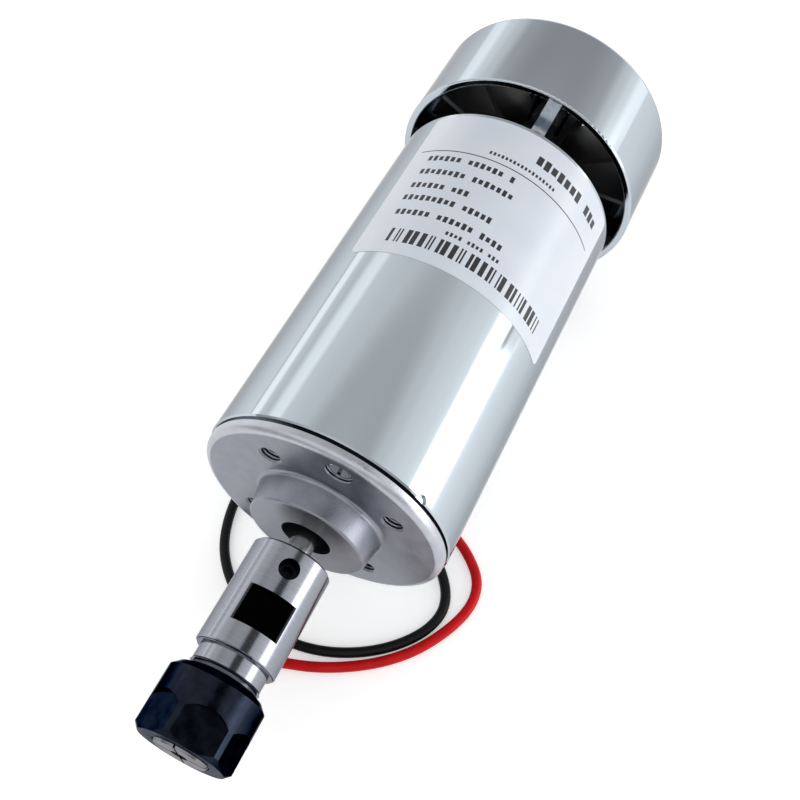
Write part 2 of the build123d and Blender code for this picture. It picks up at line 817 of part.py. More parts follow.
# The black lead runs beside it, loops round the nose inside the red one, and its end lies
# under the tube's left side.
black_route = [
    (terminal_end, -terminal_y, terminal_z),
    (terminal_end - lead_start_run, -terminal_y, terminal_z),
    (-95.0, -12.3, -19.0), (-95.0, -12.5, -23.9),
    (-91.5, -12.4, lead_z), (-83.0, -11.2, lead_z), (-70.0, -8.2, lead_z),
    (-54.0, -5.8, lead_z), (-39.0, -3.4, lead_z), (-27.8, 1.5, lead_z), (-20.4, 9.1, lead_z),
    (-14.1, 18.8, lead_z), (-5.7, 26.0, lead_z), (2.2, 25.3, lead_z), (10.4, 18.5, lead_z),
    (16.1, 8.3, lead_z), (17.7, -2.7, lead_z), (14.1, -13.9, lead_z), (6.4, -22.7, lead_z),
    (-3.2, -26.6, lead_z), (-13.3, -27.4, lead_z), (-23.0, -24.6, lead_z),
]


def lead_path(name, route):
    """Straight runs joined by arcs as large as the shorter run beside each corner allows."""
    points = [Vector(*p) for p in route]
    radii = []
    for a, b, c in zip(points, points[1:], points[2:]):
        half_turn = radians((b - a).get_angle(c - b)) / 2
        radii.append(0.45 * min((b - a).length, (c - b).length) / tan(half_turn))
    print(name, "radii", [round(r, 1) for r in radii])
    return FilletPolyline(*route, radius=radii)


def lead(name, route):
    path = lead_path(name, route)
    radius = lead_diameter / 2
    tube = sweep(Plane(origin=path @ 0, z_dir=path % 0) * Circle(radius), path)
    print(name, "length", round(path.length, 1),
          "volume ratio", round(tube.volume / (pi * radius ** 2 * path.length), 4))
    return tube


def lead_tip(route):
    """Tinned strands at a lead's free end."""
    end, before = Vector(*route[-1]), Vector(*route[-2])
    way = (end - before).normalized()
    return extrude(Plane(origin=end, z_dir=way) * Circle(lead_tip_radius), lead_tip_length)


def main():
    os.makedirs("parts", exist_ok=True)
    save("motor_tube", motor_tube())
    save("front_cap", front_cap())
    save("rear_cap", rear_cap())
    save("tie_screws", *tie_screws())
    save("tie_washers", *tie_washers())
    save("standoffs", *standoffs())
    places = (("front", front_bearing, front_bearing_rear), ("rear", rear_bearing, rear_bearing_rear))
    for place, size, rear in places:
        outer_ring, inner_ring, balls, shields = bearing(size, rear)
        save(f"{place}_bearing_outer_ring", outer_ring)
        save(f"{place}_bearing_inner_ring", inner_ring)
        save(f"{place}_bearing_balls", *balls)
        save(f"{place}_bearing_cage", ball_cage(size, rear))
        save(f"{place}_bearing_shields", *shields)
    save("wave_washer", wave_washer())
    save("motor_shaft", motor_shaft())
    save("rotor_core", rotor_core())
    save("windings", windings())
    save("commutator_hub", commutator_hub())
    save("commutator_bars", *commutator_bars())
    save("magnets", *magnets())
    save("brush_plate", brush_plate())
    save("brush_plate_screws", *brush_plate_screws())
    for name, side in (("right", 1), ("left", -1)):
        turn = 0 if side > 0 else 180
        save(f"brush_{name}", brush(turn))
        save(f"brush_holder_{name}", brush_holder(side))
        save(f"brush_spring_{name}", brush_spring(turn))
    save("terminal_posts", *terminal_posts())
    save("terminal_bushes", *terminal_bushes())
    save("fan", fan())
    save("fan_clip", fan_clip())
    save("fan_shroud", fan_shroud())
    save("shroud_screws", *shroud_screws())
    save("collet_holder", collet_holder())
    save("set_screws", *set_screws())
    save("collet", collet())
    save("collet_nut", collet_nut())
    save("label", label())
    save("lead_red", lead("lead_red", red_route))
    save("lead_black", lead("lead_black", black_route))
    save("lead_tips", lead_tip(red_route), lead_tip(black_route))


main()
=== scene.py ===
from math import pi, radians

import bpy
import numpy as np
from mathutils import Matrix


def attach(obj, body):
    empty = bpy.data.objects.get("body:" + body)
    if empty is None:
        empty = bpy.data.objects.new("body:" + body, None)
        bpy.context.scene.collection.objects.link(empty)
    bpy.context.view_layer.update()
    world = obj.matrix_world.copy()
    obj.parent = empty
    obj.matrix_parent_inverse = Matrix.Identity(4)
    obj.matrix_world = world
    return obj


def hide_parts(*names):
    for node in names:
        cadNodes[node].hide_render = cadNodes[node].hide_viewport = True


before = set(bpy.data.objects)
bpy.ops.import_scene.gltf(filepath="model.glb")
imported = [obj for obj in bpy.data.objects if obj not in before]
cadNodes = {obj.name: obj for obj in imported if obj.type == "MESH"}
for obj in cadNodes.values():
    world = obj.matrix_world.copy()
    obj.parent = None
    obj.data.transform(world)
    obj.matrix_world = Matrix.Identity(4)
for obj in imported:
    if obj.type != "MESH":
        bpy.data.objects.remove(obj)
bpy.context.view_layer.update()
print("frame loaded:", len(cadNodes), "pieces")

mm = 0.001


def linearColour(hexColour):
    # an sRGB hex colour as linear RGBA
    channels = np.array([int(hexColour[i:i + 2], 16) for i in (1, 3, 5)]) / 255
    linear = np.where(channels <= 0.04045, channels / 12.92, ((channels + 0.055) / 1.055) ** 2.4)
    return (*linear.tolist(), 1.0)


def setInputs(node, inputs):
    # each input gets a value, or a link from another node's socket
    for name, value in inputs.items():
        if isinstance(value, bpy.types.NodeSocket):
            node.id_data.links.new(value, node.inputs[name])
        else:
            node.inputs[name].default_value = value


def addNode(tree, kind, inputs, stops=(), **settings):
    # one shader node with its settings and links; stops are a ramp's places and colours
    node = tree.nodes.new("ShaderNode" + kind)
    for name, value in settings.items():
        setattr(node, name, value)
    setInputs(node, inputs)
    if stops:
        elements = node.color_ramp.elements
        elements[0].position, elements[1].position = stops[0][0], stops[-1][0]
        for place, _ in stops[1:-1]:
            elements.new(place)
        for element, (_, colour) in zip(elements, stops):
            element.color = colour
    return node.outputs


def newMaterial(name, hexColour, **shaderValues):
    # a material with constant values on its Principled shader; patterns are linked later
    material = bpy.data.materials.new(name)
    material.use_nodes = True
    shader = material.node_tree.nodes["Principled BSDF"]
    shader.inputs["Base Color"].default_value = linearColour(hexColour)
    for socket, value in shaderValues.items():
        shader.inputs[socket.replace("_", " ")].default_value = value
    return material, material.node_tree, shader


def perMetre(sizeMm):
    # the scale at which a noise's blobs are about sizeMm wide
    return 1 / (sizeMm * mm)


def waves(spacingMm, wobble, detail=2.0, detailScale=1.5):
    # a wave texture's values for lines spacingMm apart; one wave is pi / 10 long at scale 1
    return {"Scale": pi / 10 / (spacingMm * mm), "Distortion": wobble,
            "Detail": detail, "Detail Scale": detailScale}


turnedLines = {"wave_type": "BANDS", "bands_direction": "X"}  # round a turned cylinder
turnedRings = {"wave_type": "RINGS", "rings_direction": "X"}  # on a face turned on a lathe
smooth = {"interpolation_type": "SMOOTHSTEP"}


def twoColours(low, high, start=0.3, end=0.7):
    # a ramp's stops; a noise's values lie mostly between 0.3 and 0.7
    return [(start, linearColour(low)), (end, linearColour(high))]


def spread(low, high):
    # a map range's values that stretch a noise from low to high
    return {"From Min": 0.3, "From Max": 0.7, "To Min": low, "To Max": high}


def objectPoints(tree, scale=(1, 1, 1)):
    # object coordinates in metres, stretched by scale
    place = addNode(tree, "TexCoord", {})["Object"]
    return addNode(tree, "Mapping", {"Vector": place, "Scale": scale})[0]


def axisDistance(tree, points):
    # the distance of each point from the spindle axis
    across = addNode(tree, "VectorMath", {0: points, 1: (0, 1, 1)}, operation="MULTIPLY")
    return addNode(tree, "VectorMath", {0: across["Vector"]}, operation="LENGTH")["Value"]


def addBump(tree, shader, layers):
    # bumps one over the other; a layer is a height socket and its depth in mm
    under = {}
    for height, depth in layers:
        bump = addNode(tree, "Bump", {"Height": height, "Strength": 1.0,
                                      "Distance": depth * mm, **under})
        under = {"Normal": bump["Normal"]}
    setInputs(shader, under)


def chromedSteel():
    # drawn steel, nickel and chrome plated, polished: a mirror with a slight haze and long soft
    # waves, darker where it is seen along its surface
    material, tree, shader = newMaterial("chromedSteel", "#BFC8CF", Metallic=1.0, Roughness=0.07,
                                         Specular_Tint=(0.5, 0.5, 0.51, 1))
    points = objectPoints(tree)
    haze = addNode(tree, "TexNoise", {"Vector": points, "Scale": perMetre(14)})["Fac"]
    along = objectPoints(tree, (0.04, 1, 1))
    drawMarks = addNode(tree, "TexNoise", {"Vector": along, "Scale": perMetre(1.6)})["Fac"]
    swell = addNode(tree, "TexNoise", {"Vector": points, "Scale": perMetre(9)})["Fac"]
    rough = addNode(tree, "MapRange", {"Value": haze, **spread(0.05, 0.1)})["Result"]
    setInputs(shader, {"Roughness": rough})
    addBump(tree, shader, [(drawMarks, 0.0035), (swell, 0.006)])
    return material


# The caps' finish in mm: where the turned rim starts, how deep the groove with painted shade lies
# behind the face and over which width that painted shade fades out towards one side, and the thread
# in the mounting holes 18 mm out.
capFinish = {"rim": (24.1, 24.5), "groove": (-2.1, -2.2), "shadeFade": (-16, -4),
             "holesInner": (15.8, 15.9), "holesOuter": (20.2, 20.1), "pitch": 0.7, "rings": 0.7}


def castAluminium():
    # die cast alloy, bead blasted and faced on a lathe: satin grey, faint rings, small specks; a
    # near black painted shade fills the seam groove on one side
    material, tree, shader = newMaterial("castAluminium", "#8A8E97", Metallic=1.0, Roughness=0.33)
    points = objectPoints(tree)
    place = addNode(tree, "SeparateXYZ", {"Vector": points})
    fromAxis = axisDistance(tree, points)
    bands = {}
    for name, value in (("rim", fromAxis), ("groove", place["X"]), ("shadeFade", place["Y"]),
                        ("holesInner", fromAxis), ("holesOuter", fromAxis)):
        start, end = capFinish[name]
        bands[name] = addNode(tree, "MapRange", {"Value": value, "From Min": start * mm,
                                                 "From Max": end * mm}, **smooth)["Result"]
    cloud = addNode(tree, "TexNoise", {"Vector": points, "Scale": perMetre(3.5),
                                       "Detail": 4.0})["Fac"]
    blasted = addNode(tree, "ValToRGB", {"Fac": cloud}, twoColours("#80848F", "#91949D"))["Color"]
    turned = addNode(tree, "ValToRGB", {"Fac": cloud}, twoColours("#B0B3BC", "#BFC2C9"))["Color"]
    # near black colours for the painted shade in the seam groove
    grooveShade = addNode(tree, "ValToRGB", {"Fac": cloud}, twoColours("#141518", "#1E1F23"))["Color"]
    faced = addNode(tree, "Mix", {0: bands["rim"], 6: blasted, 7: turned}, data_type="RGBA")[2]
    # painted shade: the seam groove behind the face is coloured near black on one side, where it
    # lies in shadow
    shadedGroove = addNode(tree, "Math", {0: bands["groove"], 1: bands["shadeFade"]}, operation="MULTIPLY")[0]
    colour = addNode(tree, "Mix", {0: shadedGroove, 6: faced, 7: grooveShade}, data_type="RGBA")[2]
    rough = addNode(tree, "MapRange", {"Value": cloud, **spread(0.28, 0.38)})["Result"]
    setInputs(shader, {"Base Color": colour, "Roughness": rough})
    # the walls of the tapped holes carry the thread
    tapped = addNode(tree, "Math", {0: bands["holesOuter"], 1: bands["holesInner"]},
                     operation="MULTIPLY")[0]
    ridges = addNode(tree, "TexWave", {"Vector": points, **waves(capFinish["pitch"], 0)},
                     **turnedLines)["Fac"]
    thread = addNode(tree, "Math", {0: tapped, 1: ridges}, operation="MULTIPLY")[0]
    specks = addNode(tree, "TexNoise", {"Vector": points, "Scale": perMetre(0.35),
                                        "Detail": 3.0})["Fac"]
    rings = addNode(tree, "TexWave", {"Vector": points, **waves(capFinish["rings"], 0.4)},
                    **turnedRings)["Fac"]
    addBump(tree, shader, [(specks, 0.03), (rings, 0.008), (thread, 0.25)])
    return material


def zincPlatedSteel():
    # bright zinc plate over rolled steel: cool grey with a faint bluish cloud
    material, tree, shader = newMaterial("zincPlatedSteel", "#C3C6CA", Metallic=1.0, Roughness=0.24)
    cloud = addNode(tree, "TexNoise", {"Vector": objectPoints(tree), "Scale": perMetre(1.2)})["Fac"]
    colour = addNode(tree, "ValToRGB", {"Fac": cloud}, twoColours("#B4B9C0", "#CFD0D1"))["Color"]
    rough = addNode(tree, "MapRange", {"Value": cloud, **spread(0.12, 0.22)})["Result"]
    setInputs(shader, {"Base Color": colour, "Roughness": rough})
    addBump(tree, shader, [(cloud, 0.006)])
    return material


def turnedSteel():
    # the collet's steel, turned: satin, with fine lines round the axis
    material, tree, shader = newMaterial("turnedSteel", "#85868B", Metallic=1.0, Roughness=0.2,
                                         Specular_Tint=(0.45, 0.45, 0.47, 1))
    across = objectPoints(tree, (9, 1, 1))
    cloud = addNode(tree, "TexNoise", {"Vector": across, "Scale": perMetre(2.5)})["Fac"]
    rough = addNode(tree, "MapRange", {"Value": cloud, **spread(0.16, 0.26)})["Result"]
    setInputs(shader, {"Roughness": rough})
    lines = addNode(tree, "TexWave", {"Vector": objectPoints(tree), **waves(0.55, 1.2)},
                    **turnedLines)["Fac"]
    addBump(tree, shader, [(lines, 0.0025)])
    return material


# The holder's ground skin in mm: its smallest radius behind the shoulder, where the shoulder
# stands along the axis, and the width over which bright turns to black.
holderFinish = {"groundRadius": 7.8, "shoulder": 32.25, "fade": 0.03}


def blackenedGroundSteel():
    # blackened steel whose outside was ground bright afterwards: the wrench flats and the screw
    # holes stay black; the bright skin has fine lines round the axis
    material, tree, shader = newMaterial("blackenedGroundSteel", "#9698A0", Metallic=1.0,
                                         Roughness=0.16, Specular_Tint=(0.5, 0.5, 0.52, 1))
    points = objectPoints(tree)
    across = objectPoints(tree, (9, 1, 1))
    cloud = addNode(tree, "TexNoise", {"Vector": across, "Scale": perMetre(2.5)})["Fac"]
    bright = addNode(tree, "ValToRGB", {"Fac": cloud}, twoColours("#9599A2", "#9C9FA7"))["Color"]
    oxide = addNode(tree, "TexNoise", {"Vector": points, "Scale": perMetre(0.8),
                                       "Detail": 3.0})["Fac"]
    black = addNode(tree, "ValToRGB", {"Fac": oxide}, twoColours("#0C0C0E", "#141417"))["Color"]
    along = addNode(tree, "SeparateXYZ", {"Vector": points})["X"]
    skin = []
    for value, edge in ((axisDistance(tree, points), holderFinish["groundRadius"]),
                        (along, holderFinish["shoulder"])):
        start = (edge - holderFinish["fade"]) * mm
        skin.append(addNode(tree, "MapRange", {"Value": value, "From Min": start,
                                               "From Max": edge * mm}, **smooth)["Result"])
    ground = addNode(tree, "Math", {0: skin[0], 1: skin[1]}, operation="MAXIMUM")[0]
    colour = addNode(tree, "Mix", {0: ground, 6: black, 7: bright}, data_type="RGBA")[2]
    rough = addNode(tree, "MapRange", {"Value": cloud, **spread(0.13, 0.17)})["Result"]
    setInputs(shader, {"Base Color": colour, "Roughness": rough})
    lines = addNode(tree, "TexWave", {"Vector": points, **waves(0.55, 1.2)}, **turnedLines)["Fac"]
    grit = addNode(tree, "TexNoise", {"Vector": points, "Scale": perMetre(0.5),
                                      "Detail": 3.0})["Fac"]
    addBump(tree, shader, [(lines, 0.0003), (grit, 0.0015)])
    return material


def groundSteel():
    # hardened shaft steel, ground: brighter and finer than the turned steel
    material, tree, shader = newMaterial("groundSteel", "#9C9B9B", Metallic=1.0, Roughness=0.2)
    across = objectPoints(tree, (12, 1, 1))
    cloud = addNode(tree, "TexNoise", {"Vector": across, "Scale": perMetre(2.0)})["Fac"]
    rough = addNode(tree, "MapRange", {"Value": cloud, **spread(0.15, 0.26)})["Result"]
    setInputs(shader, {"Roughness": rough})
    lines = addNode(tree, "TexWave", {"Vector": objectPoints(tree), **waves(0.3, 1.0)},
                    **turnedLines)["Fac"]
    addBump(tree, shader, [(lines, 0.0012)])
    return material


def polishedBearingSteel():
    # chromium steel, ground and lapped
    material, tree, shader = newMaterial("polishedBearingSteel", "#CFCFCE", Metallic=1.0,
                                         Roughness=0.1)
    cloud = addNode(tree, "TexNoise", {"Vector": objectPoints(tree), "Scale": perMetre(2.0)})["Fac"]
    rough = addNode(tree, "MapRange", {"Value": cloud, **spread(0.07, 0.15)})["Result"]
    setInputs(shader, {"Roughness": rough})
    return material


def pressedSheetSteel():
    # cold rolled sheet, pressed and tumbled: dull grey with a fine speckle
    material, tree, shader = newMaterial("pressedSheetSteel", "#A3A4A4", Metallic=1.0,
                                         Roughness=0.35)
    speckle = addNode(tree, "TexNoise", {"Vector": objectPoints(tree), "Scale": perMetre(0.6),
                                         "Detail": 3.0})["Fac"]
    colour = addNode(tree, "ValToRGB", {"Fac": speckle}, twoColours("#96979A", "#B0B0AE"))["Color"]
    rough = addNode(tree, "MapRange", {"Value": speckle, **spread(0.3, 0.42)})["Result"]
    setInputs(shader, {"Base Color": colour, "Roughness": rough})
    addBump(tree, shader, [(speckle, 0.008)])
    return material


def blackOxideSteel():
    # hot blackened tool steel, oiled: blue black with a soft gloss
    material, tree, shader = newMaterial("blackOxideSteel", "#1D212A", Metallic=1.0, Roughness=0.22,
                                         Specular_Tint=(0.2, 0.22, 0.27, 1))
    points = objectPoints(tree)
    cloud = addNode(tree, "TexNoise", {"Vector": points, "Scale": perMetre(2.2),
                                       "Detail": 4.0})["Fac"]
    colour = addNode(tree, "ValToRGB", {"Fac": cloud}, twoColours("#1A1F29", "#262C38"))["Color"]
    rough = addNode(tree, "MapRange", {"Value": cloud, **spread(0.17, 0.28)})["Result"]
    setInputs(shader, {"Base Color": colour, "Roughness": rough})
    grit = addNode(tree, "TexNoise", {"Vector": points, "Scale": perMetre(0.4),
                                      "Detail": 3.0})["Fac"]
    lines = addNode(tree, "TexWave", {"Vector": points, **waves(0.6, 1.5)}, **turnedLines)["Fac"]
    addBump(tree, shader, [(grit, 0.012), (lines, 0.003)])
    return material


def blackNylon():
    # glass filled nylon, injection moulded: black, half matt, with a fine mould grain
    material, tree, shader = newMaterial("blackNylon", "#17171A", Roughness=0.34, IOR=1.53)
    grain = addNode(tree, "TexNoise", {"Vector": objectPoints(tree), "Scale": perMetre(0.5),
                                       "Detail": 3.0})["Fac"]
    rough = addNode(tree, "MapRange", {"Value": grain, **spread(0.28, 0.42)})["Result"]
    setInputs(shader, {"Roughness": rough})
    addBump(tree, shader, [(grain, 0.01)])
    return material


def labelFilm():
    # white polyester film under a clear satin laminate: soft broad shine, slight orange peel
    material, tree, shader = newMaterial("labelFilm", "#D2D9E3", Roughness=0.3, IOR=1.5,
                                         Coat_Weight=0.8, Coat_Roughness=0.26)
    points = objectPoints(tree)
    tint = addNode(tree, "TexNoise", {"Vector": points, "Scale": perMetre(11)})["Fac"]
    colour = addNode(tree, "ValToRGB", {"Fac": tint}, twoColours("#CED6E1", "#D6DCE5"))["Color"]
    setInputs(shader, {"Base Color": colour})
    peel = addNode(tree, "TexNoise", {"Vector": points, "Scale": perMetre(1.4)})["Fac"]
    addBump(tree, shader, [(peel, 0.006)])
    return material


def labelInk():
    # thermal transfer ink: near black, less shiny than the film
    material, tree, shader = newMaterial("labelInk", "#1C1C20", Roughness=0.45, IOR=1.5)
    worn = addNode(tree, "TexNoise", {"Vector": objectPoints(tree), "Scale": perMetre(0.5),
                                      "Detail": 3.0})["Fac"]
    colour = addNode(tree, "ValToRGB", {"Fac": worn}, twoColours("#17171B", "#2B2B30"))["Color"]
    setInputs(shader, {"Base Color": colour})
    return material


def softPvc(name, dark, light):
    # extruded soft PVC insulation: smooth and slightly waxy, faint drag marks
    material, tree, shader = newMaterial(name, light, Roughness=0.42, IOR=1.5,
                                         Specular_IOR_Level=0.2)
    points = objectPoints(tree)
    cloud = addNode(tree, "TexNoise", {"Vector": points, "Scale": perMetre(4.0)})["Fac"]
    colour = addNode(tree, "ValToRGB", {"Fac": cloud}, twoColours(dark, light))["Color"]
    setInputs(shader, {"Base Color": colour})
    drag = addNode(tree, "TexNoise", {"Vector": points, "Scale": perMetre(0.7)})["Fac"]
    addBump(tree, shader, [(drag, 0.012)])
    return material


def tinnedCopper():
    # stranded copper dipped in solder: bright, slightly lumpy
    material, tree, shader = newMaterial("tinnedCopper", "#C4C2BC", Metallic=1.0, Roughness=0.25)
    lumps = addNode(tree, "TexNoise", {"Vector": objectPoints(tree), "Scale": perMetre(0.5)})["Fac"]
    rough = addNode(tree, "MapRange", {"Value": lumps, **spread(0.18, 0.36)})["Result"]
    setInputs(shader, {"Roughness": rough})
    addBump(tree, shader, [(lumps, 0.04)])
    return material


def enamelledCopper():
    # magnet wire under clear brown enamel, wound in layers: rows of fine wires, varnish between
    material, tree, shader = newMaterial("enamelledCopper", "#A4532B", Metallic=0.85,
                                         Roughness=0.28, Coat_Weight=0.5, Coat_Roughness=0.15)
    wires = addNode(tree, "TexWave", {"Vector": objectPoints(tree), **waves(0.6, 2.5, 1.0, 0.4)},
                    wave_type="BANDS", bands_direction="DIAGONAL")["Fac"]
    stops = twoColours("#6E2F14", "#BE6A38", 0.2, 0.8)
    setInputs(shader, {"Base Color": addNode(tree, "ValToRGB", {"Fac": wires}, stops)["Color"]})
    addBump(tree, shader, [(wires, 0.18)])
    return material


def siliconSteelStack():
    # punched electrical steel sheets, stacked and varnished: grey brown, a line at each sheet,
    # drawn 0.7 mm apart so that they show
    material, tree, shader = newMaterial("siliconSteelStack", "#6F6C68", Metallic=0.9,
                                         Roughness=0.45)
    sheets = addNode(tree, "TexWave", {"Vector": objectPoints(tree), **waves(0.7, 0.1)},
                     **turnedLines)["Fac"]
    stops = twoColours("#4B4845", "#807C77", 0.1, 0.5)
    setInputs(shader, {"Base Color": addNode(tree, "ValToRGB", {"Fac": sheets}, stops)["Color"]})
    addBump(tree, shader, [(sheets, 0.04)])
    return material


def sinteredFerrite():
    # ceramic magnet, ground on its faces: charcoal grey, dry, with small pits
    material, tree, shader = newMaterial("sinteredFerrite", "#3A3A3D", Roughness=0.62, IOR=2.2)
    pits = addNode(tree, "TexNoise", {"Vector": objectPoints(tree), "Scale": perMetre(0.9),
                                      "Detail": 5.0})["Fac"]
    colour = addNode(tree, "ValToRGB", {"Fac": pits}, twoColours("#2C2C2F", "#47474A"))["Color"]
    setInputs(shader, {"Base Color": colour})
    addBump(tree, shader, [(pits, 0.04)])
    return material


def phenolicPaper():
    # laminated phenolic paper: warm brown with fibres lying one way
    material, tree, shader = newMaterial("phenolicPaper", "#6B4024", Roughness=0.4, IOR=1.6)
    lying = objectPoints(tree, (1, 0.15, 1))
    fibres = addNode(tree, "TexNoise", {"Vector": lying, "Scale": perMetre(0.5),
                                        "Detail": 4.0})["Fac"]
    colour = addNode(tree, "ValToRGB", {"Fac": fibres}, twoColours("#54301A", "#7E4F2E"))["Color"]
    setInputs(shader, {"Base Color": colour})
    addBump(tree, shader, [(fibres, 0.01)])
    return material


def hardCopper():
    # drawn copper bars, turned after moulding: pink brown with darker streaks round them
    material, tree, shader = newMaterial("hardCopper", "#B87454", Metallic=1.0, Roughness=0.26)
    across = objectPoints(tree, (5, 1, 1))
    track = addNode(tree, "TexNoise", {"Vector": across, "Scale": perMetre(3.0)})["Fac"]
    colour = addNode(tree, "ValToRGB", {"Fac": track}, twoColours("#8E5238", "#C98B68"))["Color"]
    setInputs(shader, {"Base Color": colour})
    lines = addNode(tree, "TexWave", {"Vector": objectPoints(tree), **waves(0.4, 0.6)},
                    **turnedLines)["Fac"]
    addBump(tree, shader, [(lines, 0.003)])
    return material


def brassSheet():
    # rolled brass sheet and rod, bright with light tarnish
    material, tree, shader = newMaterial("brassSheet", "#C9A75C", Metallic=1.0, Roughness=0.24)
    tarnish = addNode(tree, "TexNoise", {"Vector": objectPoints(tree), "Scale": perMetre(2.4),
                                         "Detail": 3.0})["Fac"]
    colour = addNode(tree, "ValToRGB", {"Fac": tarnish}, twoColours("#B8924A", "#D6B870"))["Color"]
    rough = addNode(tree, "MapRange", {"Value": tarnish, **spread(0.18, 0.34)})["Result"]
    setInputs(shader, {"Base Color": colour, "Roughness": rough})
    addBump(tree, shader, [(tarnish, 0.006)])
    return material


def pressedCarbon():
    # copper graphite, pressed and baked: soft black with metallic specks
    material, tree, shader = newMaterial("pressedCarbon", "#1D1D1E", Roughness=0.5, IOR=1.8)
    points = objectPoints(tree)
    specks = addNode(tree, "TexNoise", {"Vector": points, "Scale": perMetre(0.3)})["Fac"]
    stops = twoColours("#161617", "#3A3230", 0.55, 0.75)
    setInputs(shader, {"Base Color": addNode(tree, "ValToRGB", {"Fac": specks}, stops)["Color"]})
    addBump(tree, shader, [(specks, 0.01)])
    return material


finishes = {
    chromedSteel: ["motor_tube", "fan_shroud"],
    castAluminium: ["front_cap", "rear_cap"],
    zincPlatedSteel: ["tie_screws", "tie_washers", "standoffs", "shroud_screws",
                      "brush_plate_screws"],
    groundSteel: ["motor_shaft"],
    turnedSteel: ["collet"],
    blackenedGroundSteel: ["collet_holder"],
    polishedBearingSteel: ["front_bearing_outer_ring", "front_bearing_inner_ring",
                           "front_bearing_balls", "rear_bearing_outer_ring",
                           "rear_bearing_inner_ring", "rear_bearing_balls"],
    pressedSheetSteel: ["front_bearing_cage", "front_bearing_shields", "rear_bearing_cage",
                        "rear_bearing_shields", "wave_washer", "fan_clip",
                        "brush_spring_right", "brush_spring_left"],
    blackOxideSteel: ["collet_nut", "set_screws"],
    blackNylon: ["fan"],
    enamelledCopper: ["windings"],
    siliconSteelStack: ["rotor_core"],
    sinteredFerrite: ["magnets"],
    phenolicPaper: ["commutator_hub", "brush_plate", "terminal_bushes"],
    hardCopper: ["commutator_bars"],
    brassSheet: ["brush_holder_right", "brush_holder_left", "terminal_posts"],
    pressedCarbon: ["brush_right", "brush_left"],
}
for makeFinish, names in finishes.items():
    finish = makeFinish()
    for name in names:
        for materialSlot in cadNodes[name].material_slots:
            materialSlot.material = finish
print("materials on the CAD pieces:", len(finishes))


def addPiece(name, points, faces, material, body):
    # a smooth mesh object at the origin from an array of points in metres and an array of faces
    mesh = bpy.data.meshes.new(name)
    mesh.from_pydata(points.reshape(-1, 3), [], faces.tolist())
    mesh.polygons.foreach_set("use_smooth", np.ones(len(mesh.polygons), bool))
    mesh.materials.append(material)
    mesh.update()
    piece = bpy.data.objects.new(name, mesh)
    bpy.context.scene.collection.objects.link(piece)
    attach(piece, body)
    return piece


def gridFaces(rows, columns, wrap=False):
    # quads between neighbouring points of a rows by columns grid; wrap joins the last column to
    # the first
    last = columns if wrap else columns - 1
    row, column = np.meshgrid(np.arange(rows - 1), np.arange(last), indexing="ij")
    after = (column + 1) % columns
    quads = np.stack([row * columns + column, row * columns + after,
                      (row + 1) * columns + after, (row + 1) * columns + column], -1)
    return quads.reshape(-1, 4)


def onTube(x, clock, radius):
    # points in metres, x mm along the axis, clock degrees round it and radius mm from it
    turn = np.radians(clock)
    return np.stack([x + 0 * turn, radius * np.cos(turn), radius * np.sin(turn)], -1) * mm


def closeSheet(outer, inner, faces):
    # the outer faces, the same faces turned round on the inner points, and a rim between their
    # borders; a side is on the border when no face has it the other way round
    sides = np.stack([faces, np.roll(faces, -1, axis=1)], -1).reshape(-1, 2)
    key, backKey = sides @ (1, len(outer)), sides @ (len(outer), 1)
    border = sides[~np.isin(key, backKey)]
    rim = np.c_[border[:, ::-1], border + len(outer)]
    back = faces[:, ::-1] + len(outer)
    return np.concatenate([outer, inner]), np.concatenate([faces, back, rim])


sheet = {"tubeRadius": 26.0, "sharpFrom": radians(40), "slot": "label_film"}


def addSheet(name, x, clock, size, faces, material):
    # a thin closed sheet on the tube with crisp edges; its outside is at the surface's radius
    radii = (size["surface"], size["surface"] - size["thickness"])
    outer, inner = [onTube(x, clock, radius).reshape(-1, 3) for radius in radii]
    points, faces = closeSheet(outer, inner, faces)
    piece = addPiece(name, points, faces, material, "housing")
    piece.data.set_sharp_from_angle(angle=sheet["sharpFrom"])
    return piece


# The label: its ends along the tube in mm, its two edges in degrees round it, its corners and film
# in mm, and the points of its mesh.
label = {"rear": -88.2, "front": -45.5, "low": 14.0, "high": 128.0, "corner": 1.5,
         "surface": 26.06, "thickness": 0.055, "columns": 160, "rows": 24}


def buildLabel():
    # a rectangle bent round the tube; near its two ends each row is shortened by the corner circle
    v = np.linspace(0, 1, label["columns"])
    v = (1 - np.cos(pi * v)) / 2  # closer together towards both ends
    arc = radians(label["high"] - label["low"]) * label["surface"]
    fromEnd = np.minimum(v, 1 - v) * arc
    inside = np.clip(label["corner"] - fromEnd, 0, None)
    inset = label["corner"] - np.sqrt(label["corner"] ** 2 - inside ** 2)
    u = np.linspace(0, 1, label["rows"])[:, None]
    x = label["rear"] + inset + u * (label["front"] - label["rear"] - 2 * inset)
    clock = label["low"] + v * (label["high"] - label["low"]) + 0 * u
    faces = gridFaces(label["rows"], label["columns"])
    piece = addSheet("labelSheet", x, clock, label, faces, labelFilm())
    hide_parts("label")


